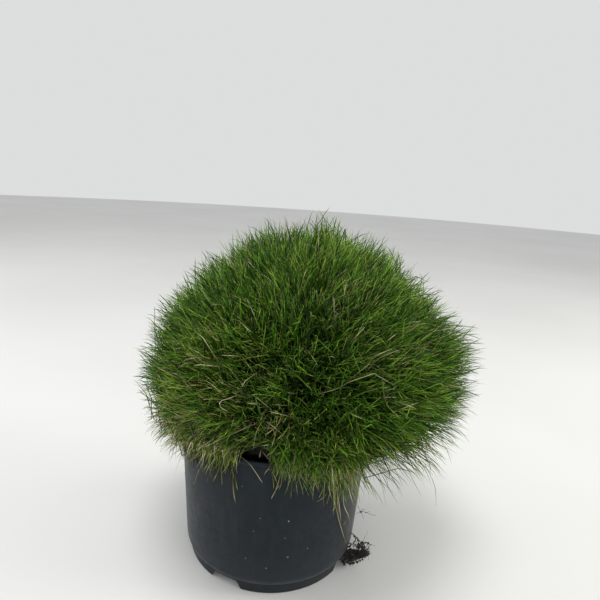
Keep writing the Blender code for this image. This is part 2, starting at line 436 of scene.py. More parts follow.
def leaf_material():
    """Colour by swatch across U and by place along the leaf in V, darker towards the root as painted shade."""
    n = Nodes("fescue_leaf")
    uv = n.new("UVMap", {}, uv_map="OFBake")["UV"]
    split = n.new("SeparateXYZ", {0: uv})
    across, along = split["X"], split["Y"]
    middle = n.ramp(
        across,
        (0.00, (0.008, 0.036, 0.002)),
        (0.14, (0.026, 0.104, 0.004)),
        (0.30, (0.062, 0.192, 0.007)),
        (0.44, (0.158, 0.350, 0.020)),
        (0.55, (0.220, 0.315, 0.034)),
        (0.64, (0.240, 0.235, 0.040)),
        (0.74, (0.300, 0.245, 0.075)),
        (0.86, (0.370, 0.320, 0.150)),
        (1.00, (0.560, 0.540, 0.380)),
    )
    # Dark lower part of each leaf: painted shade deep inside the cushion.
    root = n.ramp(
        across,
        (0.00, (0.004, 0.012, 0.002)),
        (0.44, (0.016, 0.034, 0.004)),
        (0.64, (0.045, 0.042, 0.010)),
        (1.00, (0.140, 0.110, 0.055)),
    )
    tip = n.ramp(
        across,
        (0.00, (0.026, 0.076, 0.006)),
        (0.30, (0.120, 0.245, 0.018)),
        (0.50, (0.285, 0.365, 0.078)),
        (0.64, (0.350, 0.310, 0.120)),
        (1.00, (0.620, 0.600, 0.430)),
    )
    # From painted shade low on the leaf to its own colour higher up, then its paler tip.
    lower = n.range(along, 0.16, 0.84)
    upper = n.range(along, 0.72, 0.98)
    colour = n.mix(upper, n.mix(lower, root, middle), tip)
    streak = n.noise(n.stretched(uv, (SWATCHES * 1.7, 2.5, 1.0)), 1.0, 2.0)
    shade = n.range(streak, 0.34, 0.66, 0.10, 1.82)
    grey = n.new("CombineColor", {0: shade, 1: shade, 2: shade})[0]
    return n.surface(
        Base_Color=n.mix(1.0, colour, grey, "MULTIPLY"),
        Roughness=n.range(streak, 0.2, 0.8, 0.36, 0.56),
        Specular_IOR_Level=0.24,
        Specular_Tint=(0.86, 1.0, 0.55, 1.0),
    )


def core_material():
    n = Nodes("fescue_core_painted_shade")
    place = n.place()
    coarse = n.noise(place, 55.0, 4.0)
    fine = n.noise(n.stretched(place, (1.0, 1.0, 0.35)), 420.0, 4.0, 0.7)
    # Near-black colours: painted shade in the cushion's dense inside.
    colour = n.ramp(
        fine,
        (0.30, (0.0010, 0.0018, 0.0012)),
        (0.50, (0.0030, 0.0060, 0.0020)),
        (0.62, (0.0080, 0.0130, 0.0040)),
        (0.78, (0.0260, 0.0220, 0.0090)),
    )
    return n.surface(
        Base_Color=n.mix(n.range(coarse, 0.4, 0.7), colour, (0.0032, 0.0036, 0.0024)),
        Roughness=0.9,
        Specular_IOR_Level=0.10,
        Normal=n.bump(fine, 0.9, 0.002),
    )


# Light grains of grit on the pot's wall: azimuth, height and radius
SPECKS = (
    (-80.1, 0.0843, 0.0008), (-95.9, 0.0868, 0.0005), (-99.4, 0.0721, 0.0005), (-78.9, 0.0446, 0.0008),
    (-91.1, 0.0327, 0.0007), (-103.5, 0.0407, 0.0006), (-81.5, 0.0661, 0.0005), (-67.2, 0.0507, 0.0006),
    (-106.3, 0.1169, 0.0005),
)
# Height of the line of painted highlight round the pot's foot
EDGE_HEIGHT = 0.0145


def plastic_material():
    n = Nodes("pot_plastic")
    place = n.place()
    axes = n.new("SeparateXYZ", {0: place})
    across, height = axes["X"], axes["Z"]
    cloud = n.noise(place, 22.0, 5.0, 0.6)
    grain = n.noise(place, 900.0, 3.0, 0.6)
    smear = n.noise(n.stretched(place, (1.0, 1.0, 0.16)), 120.0, 4.0, 0.6)
    splash = n.noise(place, 75.0, 5.0, 0.75)
    colour = n.ramp(cloud, (0.32, (0.0045, 0.0067, 0.0094)), (0.68, (0.0078, 0.0105, 0.0137)))
    dust = n.range(smear, 0.52, 0.80, 0.0, 0.18)
    colour = n.mix(dust, colour, (0.050, 0.053, 0.055))
    distance, values = n.cells(place, 70.0)
    near = n.math("LESS_THAN", distance, n.range(values[1], 0.0, 1.0, 0.02, 0.075))
    speck = n.times(near, n.math("GREATER_THAN", values[0], 0.66))
    colour = n.mix(n.times(speck, 0.55), colour, (0.300, 0.310, 0.300))
    for azimuth, up, size in SPECKS:
        middle = on_wall(azimuth, up, -BEAD)
        away = n.new("VectorMath", {0: place, 1: middle}, operation="DISTANCE")["Value"]
        ragged = n.math("ADD", away, n.times(grain, 0.0008))
        colour = n.mix(n.range(ragged, size + 0.0004, size + 0.0001, 0.0, 0.75), colour, (0.330, 0.340, 0.320))
    # A light line round the lower edge of the wall: painted highlight.
    edge = n.math("ABSOLUTE", n.math("SUBTRACT", height, EDGE_HEIGHT))
    painted_edge_highlight = n.times(n.range(edge, 0.0, 0.0040, 0.55, 0.0), n.range(smear, 0.30, 0.65, 0.35, 1.0))
    colour = n.mix(painted_edge_highlight, colour, (0.062, 0.070, 0.078))
    # Lighter towards the bottom of the wall: painted light from the floor.
    painted_floor_light = n.range(height, 0.012, 0.055, 0.30, 0.0)
    colour = n.mix(painted_floor_light, colour, (0.040, 0.046, 0.052))
    # Light band down the right edge of the wall: dust, with painted sheen.
    dust_and_sheen = n.times(n.range(across, 0.040, 0.062, 0.0, 0.48), n.range(smear, 0.30, 0.60, 0.45, 1.0))
    colour = n.mix(dust_and_sheen, colour, (0.078, 0.074, 0.066))
    low = n.range(height, 0.0, 0.024, 1.0, 0.0)
    side = n.range(across, -0.02, 0.075, 0.15, 1.0)
    soiled = n.times(n.times(low, side), n.range(splash, 0.42, 0.62))
    gloss = n.range(n.noise(place, 140.0, 4.0), 0.3, 0.7, 0.42, 0.60)
    return n.surface(
        Base_Color=n.mix(soiled, colour, (0.032, 0.025, 0.018)),
        Roughness=n.math("ADD", gloss, n.times(soiled, 0.35)),
        Specular_IOR_Level=0.24,
        Specular_Tint=(0.74, 0.90, 1.0, 1.0),
        Sheen_Weight=0.11,
        Sheen_Roughness=0.35,
        Normal=n.bump(n.math("ADD", n.times(grain, 0.25), smear), 0.25, 0.0004),
    )


def mix_material():
    n = Nodes("bark_mix")
    place = n.place()
    distance, values = n.cells(place, 330.0)
    fine = n.noise(place, 1400.0, 4.0, 0.7)
    colour = n.ramp(
        values[0],
        (0.0, (0.010, 0.007, 0.005)),
        (0.5, (0.028, 0.019, 0.012)),
        (0.85, (0.060, 0.042, 0.026)),
        (1.0, (0.130, 0.100, 0.070)),
    )
    return n.surface(
        Base_Color=n.mix(n.range(fine, 0.35, 0.7), colour, (0.014, 0.010, 0.007)),
        Roughness=0.93,
        Normal=n.bump(n.math("ADD", n.times(distance, -1.0), fine), 0.9, 0.0012),
    )


def root_material():
    n = Nodes("root")
    long = n.noise(n.place(), 500.0)
    return n.surface(
        Base_Color=n.ramp(
            long, (0.33, (0.014, 0.013, 0.012)), (0.54, (0.036, 0.032, 0.027)), (0.70, (0.120, 0.102, 0.074))
        ),
        Roughness=0.8,
        Normal=n.bump(long, 0.5, 0.0004),
    )


def mesh_from(bm, name):
    mesh = bpy.data.meshes.new(name)
    bm.to_mesh(mesh)
    bm.free()
    return mesh


def ball():
    """A fine ball of radius 1 and its points."""
    bm = bmesh.new()
    bmesh.ops.create_icosphere(bm, subdivisions=5, radius=1.0)
    return bm, np.array([v.co[:] for v in bm.verts])


def set_points(bm, points):
    for vert, point in zip(bm.verts, points):
        vert.co = point


def applied(obj, name, sharp):
    """A plain mesh object with this one's modifiers applied, its faces smooth apart from sharp edges."""
    graph = bpy.context.evaluated_depsgraph_get()
    mesh = bpy.data.meshes.new_from_object(obj.evaluated_get(graph))
    mesh.transform(obj.matrix_world)
    mesh.name = name
    bpy.data.objects.remove(obj, do_unlink=True)
    result = link(bpy.data.objects.new(name, mesh))
    mesh.shade_smooth()
    mesh.set_sharp_from_angle(angle=sharp)
    return result


def arc(centre, radius, start, end, pieces):
    angles = [math.radians(start + (end - start) * i / pieces) for i in range(pieces + 1)]
    return [(centre[0] + radius * math.cos(a), centre[1] + radius * math.sin(a)) for a in angles]


def wall_radius(height):
    share = (height - FOOT_HEIGHT) / (POT_HEIGHT - FOOT_HEIGHT)
    return BASE_RADIUS + (RIM_RADIUS - BEAD - BASE_RADIUS) * share


def turned(name, profile):
    bm = bmesh.new()
    points = [bm.verts.new((radius, 0.0, height)) for radius, height in profile]
    for upper, lower in zip(points, points[1:]):
        bm.edges.new((upper, lower))
    obj = link(bpy.data.objects.new(name, mesh_from(bm, name)))
    screw = obj.modifiers.new("turn", "SCREW")
    screw.steps = screw.render_steps = POT_STEPS
    screw.use_merge_vertices = True
    screw.merge_threshold = 0.00002
    obj.location.x = POT_X
    return obj


def pot_profile():
    floor_top = FOOT_HEIGHT + FLOOR
    inner_base = wall_radius(floor_top) - WALL
    inner_rim = wall_radius(POT_HEIGHT) - WALL
    bead_radius = (RIM_RADIUS - inner_rim) / 2
    corner = (BASE_RADIUS - CORNER_RADIUS, SHOULDER_HEIGHT + CORNER_RADIUS)
    inside = [(0.0, floor_top)]
    inside += arc((inner_base - CORNER_RADIUS, floor_top + CORNER_RADIUS), CORNER_RADIUS, -90, 0, 8)
    inside += [(wall_radius(h) - WALL, h) for h in np.linspace(floor_top + CORNER_RADIUS, POT_HEIGHT, 12)[1:-1]]
    rim = arc((RIM_RADIUS - bead_radius, POT_HEIGHT - bead_radius), bead_radius, 180, 0, 12)
    bead_end = POT_HEIGHT - BEAD_DEPTH
    bead = [(RIM_RADIUS, bead_end + BEAD), (RIM_RADIUS - BEAD * 0.3, bead_end)]
    bead += [(wall_radius(bead_end), bead_end - BEAD)]
    wall = [(wall_radius(h), h) for h in np.linspace(bead_end - BEAD, corner[1], 14)[1:-1]]
    outside = arc(corner, CORNER_RADIUS, 0, -60, 9)
    foot_end, foot_inside = FOOT_RADIUS - FOOT_TAPER, FOOT_RADIUS - FOOT_WIDTH
    foot = [(FOOT_RADIUS, outside[-1][1] - FOOT_ROUND), (foot_end, FOOT_ROUND), (foot_end - FOOT_ROUND, 0.0)]
    underside = [(foot_inside, 0.0), (foot_inside, FOOT_HEIGHT), (0.0, FOOT_HEIGHT)]
    return inside + rim + bead + wall + outside + foot + underside


def make_pot(plastic):
    pot = turned("pot_body", pot_profile())
    pot.data.materials.append(plastic)
    bm = bmesh.new()
    reach = FOOT_WIDTH * 4
    for i in range(NOTCHES):
        turn = Matrix.Rotation(FIRST_NOTCH + i * math.tau / NOTCHES, 4, "Z")
        block = bmesh.ops.create_cube(bm, size=1.0)["verts"]
        for vert in block:
            height = math.copysign(NOTCH_HEIGHT, vert.co.z)
            side = math.copysign(NOTCH_WIDTH / 2 - NOTCH_SLANT * height, vert.co.y)
            ring = FOOT_RADIUS - FOOT_WIDTH / 2 + reach * vert.co.x
            vert.co = turn @ Vector((ring, side, height))
        radial = (turn.to_3x3() @ Vector((1, 0, 0))).normalized()
        edges = {e for v in block for e in v.link_edges}
        corners = [
            e for e in edges
            if abs((e.verts[0].co - e.verts[1].co).normalized().dot(radial)) > 0.9 and e.verts[0].co.z > 0
        ]
        bmesh.ops.bevel(bm, geom=corners, offset=NOTCH_ROUND, segments=5, affect="EDGES", profile=0.5)
    for i in range(HOLES):
        angle = FIRST_NOTCH + (i + 0.5) * math.tau / HOLES
        place = Matrix.Translation((HOLE_RING * math.cos(angle), HOLE_RING * math.sin(angle), FOOT_HEIGHT))
        bmesh.ops.create_cone(
            bm, cap_ends=True, segments=40, radius1=HOLE_RADIUS, radius2=HOLE_RADIUS, depth=6 * FLOOR, matrix=place
        )
    cutter = link(bpy.data.objects.new("cutters", mesh_from(bm, "cutters")))
    cutter.location.x = POT_X
    boolean = pot.modifiers.new("cuts", "BOOLEAN")
    boolean.operation, boolean.solver, boolean.object = "DIFFERENCE", "EXACT", cutter
    bpy.context.view_layer.update()
    result = applied(pot, "pot_body", SHARP_ANGLE)
    bpy.data.objects.remove(cutter, do_unlink=True)
    return result


def make_core(material):
    """The dense inside of the cushion, rough all over and shaped to stand clear of the pot."""
    bm, points = ball()
    directions = unit(points)
    points = cushion_point(directions, CORE_INSET)
    points[:, 0] += POT_X * 0.8 * below(points, MIDDLE[2], MIDDLE[2] - POT_HEIGHT)
    rough = waves(points, 0.012, 31) * 0.0022 + waves(points, 0.005, 37) * 0.0012
    points += directions * rough[:, None]
    in_pot = pot_distance(points) < RIM_RADIUS - 0.006
    floor = np.where(in_pot, MIX_TOP + CORE_OVER_MIX, POT_HEIGHT + CORE_OVER_RIM)
    points[:, 2] = np.maximum(points[:, 2], floor + 0.0006 * (1 + waves(points, 0.006, 41)))
    set_points(bm, points)
    return placed(mesh_from(bm, "core_painted_shade"), "fescue_core_painted_shade", material)


def with_patches(values, points, patches):
    """The values with each patch's amount added, in full in its middle and less towards its edge.

    A patch is round and on the cushion: azimuth, elevation, radius and amount.
    """
    for azimuth, elevation, radius, amount in patches:
        away = np.linalg.norm(points - cushion_point(headings(azimuth, elevation)), axis=1)
        values = values + amount * np.clip(1.3 * (1 - away / radius), 0, 1)
    return values


def dryness(points):
    """Share of dry leaves at each place: more on the lower flank and in a few tired patches."""
    dry = with_patches(0.028 + 0.09 * below(points, 0.20, 0.07), points, DRY_PATCHES)
    return np.clip(dry * (1 + 0.5 * waves(points, 0.03, 53)), 0.02, 0.8)


# Azimuth, elevation, radius and added share of dry leaves
DRY_PATCHES = (
    (-73, 43, 0.035, 0.2), (-62, 18, 0.045, 0.18), (-130, 12, 0.05, 0.16), (-106, 4, 0.045, 0.16),
    (-121, -7, 0.045, 0.3), (-146, -14, 0.045, 0.34), (-160, -22, 0.045, 0.3), (-116, 12, 0.03, 0.1),
    (60, 30, 0.045, 0.15), (150, 15, 0.04, 0.15),
)

# Azimuth, elevation, radius and added tone, lighter above 0 and greener below
TONE_PATCHES = (
    (-111, 43, 0.055, -0.12), (-150, 45, 0.06, -0.08), (-29, 18, 0.065, -0.12), (-75, 38, 0.045, -0.05),
    (-120, 13, 0.035, 0.09), (-138, 8, 0.04, 0.08), (-77, 1, 0.035, 0.06), (-58, -3, 0.04, 0.04),
    (-38, 33, 0.05, -0.09), (-88, 12, 0.075, -0.03), (-55, 53, 0.06, -0.09), (-72, 10, 0.04, -0.06),
    (-138, 21, 0.05, 0.08),
)


def chosen_swatches(points, rng, extra=0.0):
    """A swatch for each leaf: green ones by place and paler low down as painted light from the floor, dry ones by
    share.
    """
    count = len(points)
    tone = 0.23 + 0.07 * waves(points, 0.05, 61) + rng.normal(0, 0.24, count)
    tone += 0.06 * waves(points, 0.006, 63)
    warm = np.clip(waves(points, 0.04, 67), 0, 1) * 0.10
    # Paler tones on the lower leaves: painted light thrown up from the floor.
    tone = with_patches(tone, points, TONE_PATCHES) + warm + 0.12 * below(points, 0.185, 0.06)
    tone = np.clip(tone, 0.0, LAST_GREEN)
    dry = rng.random(count) < dryness(points) + extra
    tone[dry] = rng.uniform(0.54, 0.97, dry.sum()) ** 1.15
    return np.clip((tone * SWATCHES).astype(int), 0, SWATCHES - 1)


def outline_share(points):
    """How long the leaves grow at each place, as a share of the outline's reach."""
    share = 1.0 + 0.016 * waves(points, 0.05, 71) + 0.010 * waves(points, 0.016, 73)
    share = with_patches(share + 0.020 * waves(points, 0.006, 75), points, OUTLINE_BUMPS)
    return share - 0.05 * below(points, MIDDLE[2], 0.08)


# Azimuth, elevation, radius and added share of the outline's reach
OUTLINE_BUMPS = (
    (-16, 16, 0.055, 0.09), (-60, -10, 0.045, 0.045), (168, -6, 0.06, 0.02), (-12, -14, 0.045, 0.045),
    (-46, -14, 0.035, 0.05), (-80, -14, 0.035, -0.03), (-158, -25, 0.045, 0.14), (-165, 48, 0.05, -0.03),
    (-128, -16, 0.04, -0.11), (90, 76, 0.06, 0.022),
)


def thinning(points):
    """Where the cushion's lower edge grows loose and open, from 0 to 1."""
    azimuth = np.degrees(np.arctan2(points[:, 1], points[:, 0]))
    away = (azimuth - FRINGE_AZIMUTH + 180) % 360 - 180
    return np.clip((FRINGE_HALF - np.abs(away)) / FRINGE_FADE, 0, 1) * below(points, FRINGE_TOP, FRINGE_DEPTH)


def in_parting(points):
    """Whether each point is in the gap between the hanging leaves where the rim shows."""
    out = -points[..., 1] - RIM_RADIUS
    top = PARTING_TOP + PARTING_SLOPE * out
    half = PARTING_HALF * below(points, top, PARTING_ROUND) * (1.0 + 0.30 * waves(points, 0.0035, 91))
    return (out > -PARTING_DEEPEST) & (np.abs(points[..., 0] - PARTING_X) < half)


def make_leaves(material):
    """The cushion's leaves in six meshes: bent ones first, then straight ones."""
    rng = np.random.default_rng(SEED)
    wanted = BENT_COUNT + STRAIGHT_COUNT
    spots = unit(spiral_directions(wanted * 2) + rng.normal(0, 0.006, (wanted * 2, 3)))
    base = cushion_point(spots)
    normals = cushion_normal(base)
    reach = np.linalg.norm(base - MIDDLE, axis=1)
    room = reach**2 / np.maximum((spots * normals).sum(1), 0.2)
    keep = rng.random(len(spots)) < room / np.quantile(room, 0.995)
    over_pot = (pot_distance(base) < RIM_RADIUS + RIM_ZONE) & (base[:, 2] < MOUTH_TOP)
    keep &= ~over_pot & (base[:, 2] > LOWEST_BASE)
    base, normals = base[keep], normals[keep]
    chosen = np.sort(rng.permutation(len(base))[:wanted])
    base, normals = base[chosen], normals[chosen]
    count = len(base)
    thin = thinning(base)
    depth = rng.random(count) ** 0.75 * 0.24 + 0.11 * thin * rng.random(count)
    extra = (rng.random(count) < LONG_SHARE + 0.03 * thin) * rng.uniform(0.02, 0.07, count)
    share = outline_share(base) + LEAF_OVER - depth + extra + rng.normal(0, 0.010, count)
    tips = toward(base, share[:, None])
    shown = LEAF_SHOWN * rng.uniform(0.8, 1.25, count)
    low = below(tips, 0.17, 0.06)
    droop = UP * (-0.10 - (0.65 - 0.40 * thin) * low)[:, None]
    clump = wave_vectors(base, 0.013, 81) * 0.17
    ways = unit(normals + clump + rng.normal(0, LEAF_JITTER, (count, 3)) + droop)
    tips = tips + 0.004 * wave_vectors(base, 0.02, 91)
    hem = hem_height(pot_azimuth(tips))

    # Tips beside the pot move off its wall, and those under the hem or in the loose edge's gaps go
    distance = pot_distance(tips)
    outside = RIM_RADIUS + TIP_CLEAR
    near = (tips[:, 2] < POT_HEIGHT + TIP_OVER) & (distance < outside)
    tips[near, 0] = POT_X + (tips[near, 0] - POT_X) * outside / distance[near]
    tips[near, 1] *= outside / distance[near]
    out = np.maximum(pot_distance(tips) - RIM_RADIUS, 0)
    left = np.exp(-(((np.degrees(pot_azimuth(tips)) - LEFT_AZIMUTH) / LEFT_SPREAD) ** 2))
    lowest = np.where(out > LOOSE_OUT, np.maximum(hem, LOOSE_HEM * (1 - left)), hem)
    whole = tips[:, 2] > lowest + 0.004 + (0.38 - 0.34 * left) * out + rng.exponential(0.008, count)
    whole &= rng.random(count) > 0.45 * thin
    tips, ways, base, low, shown = tips[whole], ways[whole], base[whole], low[whole], shown[whole]

    straight = rng.random(len(tips)) < STRAIGHT_COUNT / wanted
    leaves = []
    for is_straight, stations, profile, wide in (
        (False, (0.0, 0.48, 0.90, 1.0), (0.90, 1.0, 0.80), 1.0),
        (True, (0.0, 0.55, 1.0), (1.0, 0.95), 1.12),
    ):
        mine = straight == is_straight
        curves = grown_curves(tips[mine], ways[mine], shown[mine], stations, rng)
        sway = rng.normal(0, LEAF_SWAY, (mine.sum(), 3)) + 0.006 * wave_vectors(base[mine], 0.02, 87)
        sway *= 1 - 0.5 * low[mine, None]
        curves += sway[:, None, :] * (1 - np.array(stations))[None, :, None]
        curves = clear_of_pot(curves)
        halfway = (curves[:, 1:] + curves[:, :-1]) / 2
        open_air = ~(in_parting(curves).any(axis=1) | in_parting(halfway).any(axis=1))
        curves = curves[open_air]
        count = len(curves)
        widths = LEAF_WIDTH * wide * rng.uniform(0.60, 1.26, count)
        swatches = chosen_swatches(curves[:, -1], rng)
        group = rng.permutation(count) % LEAF_PIECES
        for i in range(LEAF_PIECES):
            part = group == i
            name = f"fescue_leaves_{len(leaves) + 1}"
            leaves.append(leaf_object(name, curves[part], widths[part], profile, swatches[part], material, rng))
    return leaves


def hem_height(azimuth):
    """How low the skirt hangs against the pot, by azimuth about the pot's axis."""
    places, heights = np.transpose(HEM_POINTS)
    uneven = 0.0030 * np.sin(azimuth * 23 + 0.7) + 0.0024 * np.sin(azimuth * 61 + 2.0)
    return np.interp(np.degrees(azimuth) % 360, places, heights, period=360) + uneven


# Azimuth in degrees about the pot's axis, and height of the hem
HEM_POINTS = (
    (0, 0.108), (45, 0.114), (90, 0.108), (135, 0.113), (180, 0.112), (195, 0.105), (205, 0.11), (213, 0.124),
    (222, 0.131), (229, 0.128), (238, 0.124), (246, 0.117), (250, 0.122), (252, 0.143), (263, 0.143), (266, 0.137),
    (271, 0.128), (278, 0.126), (286, 0.118), (291, 0.112), (297, 0.101), (303, 0.077), (310, 0.07), (317, 0.086),
    (323, 0.112), (334, 0.12), (345, 0.115),
)


def make_skirt(material):
    """Leaves that hang over the rim against the wall, all round."""
    rng = np.random.default_rng(SEED + 1)
    count = SKIRT_COUNT
    azimuth = rng.uniform(-math.pi, math.pi, count)
    azimuth += 0.05 * np.sin(azimuth * 17 + 1.3) + 0.03 * np.sin(azimuth * 41)
    hem = hem_height(azimuth)
    spread = rng.random(count) ** 0.5
    longer = np.where(rng.random(count) < 0.16, rng.exponential(0.006, count), 0.0)
    height = hem - 0.003 - longer + spread * (SKIRT_TOP - hem) + rng.normal(0, 0.003, count)
    off_wall = POT_CLEAR + rng.random(count) ** 1.5 * SKIRT_DEPTH + np.clip(height - 0.12, 0, 1) * 0.25
    distance = np.where(height < POT_HEIGHT, RIM_RADIUS, RIM_RADIUS + 0.002) + off_wall
    tips = round_pot(azimuth + rng.normal(0, 0.11, count), distance, height)
    root_radius = rng.uniform(*SKIRT_ROOTS, count)
    roots = round_pot(azimuth, root_radius, CROWN_HEIGHT + rng.uniform(0, 0.006, count))
    outward = np.column_stack((np.cos(azimuth), np.sin(azimuth), np.zeros(count)))
    across = np.cross(UP, outward)
    launch = outward * SKIRT_OUT + UP * rng.uniform(*SKIRT_LIFT, (count, 1))
    launch += across * rng.normal(0, 0.012, (count, 1))
    landing = outward * rng.uniform(-0.002, 0.010, (count, 1)) - UP * SKIRT_FALL
    landing += across * rng.normal(0, 0.024, (count, 1))
    curves = clear_of_pot(hermite(roots, launch, tips, landing, (0.0, 0.30, 0.52, 0.76, 1.0)))
    curves = curves[~in_parting(curves).any(axis=1)]
    widths = LEAF_WIDTH * 1.20 * rng.uniform(0.8, 1.2, len(curves))
    swatches = chosen_swatches(curves[:, -1], rng, extra=SKIRT_DRY)
    profile = (0.8, 1.0, 1.0, 0.9)
    return leaf_object("fescue_skirt", curves, widths, profile, swatches, material, rng, first=0.22)


def make_pale(material):
    """Long leaves that lie across the others, many of them pale or dry."""
    rng = np.random.default_rng(SEED + 2)
    spots = spiral_directions(PALE_COUNT * 2)
    spots = unit(spots + rng.normal(0, 0.05, spots.shape))
    base = cushion_point(spots)
    base = base[base[:, 2] > 0.15][:PALE_COUNT]
    count = len(base)
    normals = cushion_normal(base)
    along = unit(np.cross(normals, unit(rng.normal(size=(count, 3)))))
    length = rng.uniform(0.016, 0.036, (count, 1))
    middle = toward(base, rng.uniform(0.930, 0.975, (count, 1)))
    start = middle - along * length * 0.5 - normals * 0.010
    end = middle + along * length * 0.5 - normals * rng.uniform(-0.004, 0.006, (count, 1))
    launch = (along * 0.95 + normals * 0.25) * length
    landing = (along * 0.95 - normals * 0.15 + rng.normal(0, 0.15, (count, 3))) * length
    curves = clear_of_pot(hermite(start, launch, end, landing, np.linspace(0, 1, 7)))
    widths = LEAF_WIDTH * rng.uniform(0.55, 0.72, count)
    tone = np.where(rng.random(count) < 0.7, rng.uniform(0.42, 0.56, count), rng.uniform(0.60, 0.88, count))
    swatches = (tone * SWATCHES).astype(int)
    profile = (0.5, 0.9, 1.0, 1.0, 0.85, 0.55)
    return leaf_object("fescue_cross_leaves", curves, widths, profile, swatches, material, rng)


def smooth_path(points, stations):
    """A rounded line through these points, at evenly spaced shares of its length."""
    points = np.array(points, float)
    pulls = np.gradient(points, axis=0)
    fine = np.linspace(0, len(points) - 1, 40)
    low = np.minimum(fine.astype(int), len(points) - 2)
    line = hermite(points[low], pulls[low], points[low + 1], pulls[low + 1], (fine - low)[:, None])[:, 0]
    run = np.concatenate(([0.0], np.cumsum(np.linalg.norm(np.diff(line, axis=0), axis=1))))
    wanted = np.linspace(0, run[-1], stations)
    return np.column_stack([np.interp(wanted, run, line[:, k]) for k in range(3)])


def on_cushion(azimuth, elevation, share):
    return toward(cushion_point(headings(azimuth, elevation))[0], share)


def around(azimuth, reach, height):
    a = math.radians(azimuth)
    return np.array((reach * math.cos(a), reach * math.sin(a), height))


def on_wall(azimuth, height, off):
    return around(azimuth, wall_radius(min(height, POT_HEIGHT)) + BEAD + off, height) + (POT_X, 0.0, 0.0)


# Widths of the placed leaves, in shares of a leaf's
OVER_WIDTH = 0.66
FREE_WIDTH = 0.62
WALL_WIDTH = 0.92

# Leaves lying over the cushion: tone, width in shares, and the azimuth, elevation and share of reach of each place
CUSHION_LEAVES = (
    (0.9, 1.1, (-90, 14, 0.97), (-84, 16, 1.0), (-80, 18, 1.01), (-71, 20, 0.99)),
    (0.62, 1.1, (-70, 20, 1.0), (-70, 12, 1.01), (-65, 7, 1.0)),
    (0.55, 0.95, (-67, 18, 0.99), (-64, 12, 1.0)),
    (0.8, 0.95, (-80, 18, 0.97), (-73, 23, 1.01)),
    (0.57, 0.9, (-63, 20, 0.98), (-54, 20, 1.01)),
    (0.92, 0.95, (-81, 10, 0.99), (-76, 8, 1.01)),
    (0.56, 0.9, (-86, 11, 0.98), (-90, 8, 1.01)),
    (0.5, 1.0, (-60, 11, 0.99), (-64, 7, 1.01)),
    (1.0, 1.15, (-110.5, 12, 0.99), (-113, 10.5, 1.01), (-115, 9.5, 1.02), (-114.5, 8, 1.02), (-112.5, 7, 1.0)),
    (0.93, 1.05, (-105, 5, 0.97), (-113, 0, 1.01), (-120, -5, 1.03)),
    (0.72, 1.4, (-102, 8, 0.98), (-104, 4, 1.01), (-105, -2, 1.0)),
    (0.84, 1.1, (-98, 10, 0.97), (-99, 6, 1.0), (-102, 3, 1.01)),
    (0.78, 1.1, (-99, 6, 0.99), (-100, 0, 1.0)),
    (0.48, 1.0, (-104, 20, 0.97), (-97, 20, 1.01), (-90, 15, 1.0)),
    (0.57, 0.95, (-97, 20, 1.0), (-94, 20, 1.01), (-90, 19, 1.0)),
    (0.88, 1.05, (-112, 22, 0.98), (-119, 21, 1.01)),
    (0.82, 1.05, (-132, 12, 1.0), (-125, 10, 1.01), (-119, 12, 0.98)),
    (0.85, 1.05, (-130, 5, 0.97), (-147, 2, 1.03)),
    (0.7, 1.0, (-123, 3, 0.97), (-134, -1, 1.01), (-146, -2, 1.04)),
    (0.66, 1.3, (-130, 28, 0.99), (-121, 25, 1.01)),
    (0.7, 1.0, (-130, 29, 0.97), (-127, 26, 1.01), (-120, 24.5, 1.02)),
    (0.97, 0.95, (-118, 32, 0.99), (-111, 29, 1.01)),
    (0.57, 0.9, (-142, 28, 0.99), (-129, 24, 1.01)),
    (0.86, 1.0, (40, 24, 0.97), (52, 18, 1.01)),
    (0.7, 1.05, (95, 12, 0.98), (88, 22, 1.01), (80, 26, 1.0)),
    (0.92, 1.0, (140, 30, 0.98), (148, 20, 1.01)),
    (0.6, 1.0, (10, 40, 0.98), (24, 34, 1.01)),
)

# Leaves hanging free of the others: tone, and the azimuth, distance from the Z axis and height of each place
FREE_LEAVES = (
    (0.45, (-51.5, 0.102, 0.14), (-48, 0.108, 0.12), (-45, 0.113, 0.094)),
    (0.4, (-48, 0.114, 0.146), (-45.5, 0.12, 0.133), (-42.5, 0.125, 0.118)),
    (0.35, (-41.5, 0.121, 0.142), (-38, 0.13, 0.121), (-35.5, 0.137, 0.106)),
    (0.66, (-34.5, 0.133, 0.14), (-31.5, 0.144, 0.116), (-30.5, 0.148, 0.093)),
    (0.4, (-28, 0.138, 0.161), (-26, 0.147, 0.149), (-25, 0.154, 0.133)),
    (0.35, (-52.5, 0.107, 0.139), (-48.5, 0.113, 0.128), (-47.5, 0.116, 0.115)),
    (0.82, (-40, 0.132, 0.149), (-37.5, 0.14, 0.134), (-36, 0.145, 0.12)),
    (0.4, (-23.5, 0.151, 0.17), (-22, 0.159, 0.162), (-21, 0.167, 0.152)),
    (0.4, (-20.5, 0.155, 0.185), (-19.5, 0.164, 0.182), (-19, 0.17, 0.178)),
    (0.92, (-152, 0.118, 0.145), (-155, 0.131, 0.134), (-157, 0.142, 0.122)),
    (0.97, (-152, 0.116, 0.143), (-155, 0.13, 0.132), (-157, 0.141, 0.12)),
    (1.0, (-144, 0.112, 0.15), (-149, 0.123, 0.138), (-151.5, 0.128, 0.122), (-153, 0.133, 0.1)),
    (0.86, (-154.5, 0.128, 0.146), (-156.5, 0.138, 0.143), (-158, 0.147, 0.139)),
    (0.97, (-158, 0.132, 0.149), (-159.5, 0.142, 0.148), (-161, 0.154, 0.146)),
    (0.9, (-154, 0.125, 0.14), (-156, 0.136, 0.134), (-158, 0.147, 0.13)),
    (0.88, (-148.5, 0.115, 0.138), (-150.5, 0.123, 0.129), (-152.5, 0.129, 0.117)),
    (0.86, (60, 0.115, 0.15), (64, 0.13, 0.125), (66, 0.13, 0.092)),
    (0.4, (120, 0.118, 0.15), (124, 0.134, 0.122), (125, 0.132, 0.09)),
)

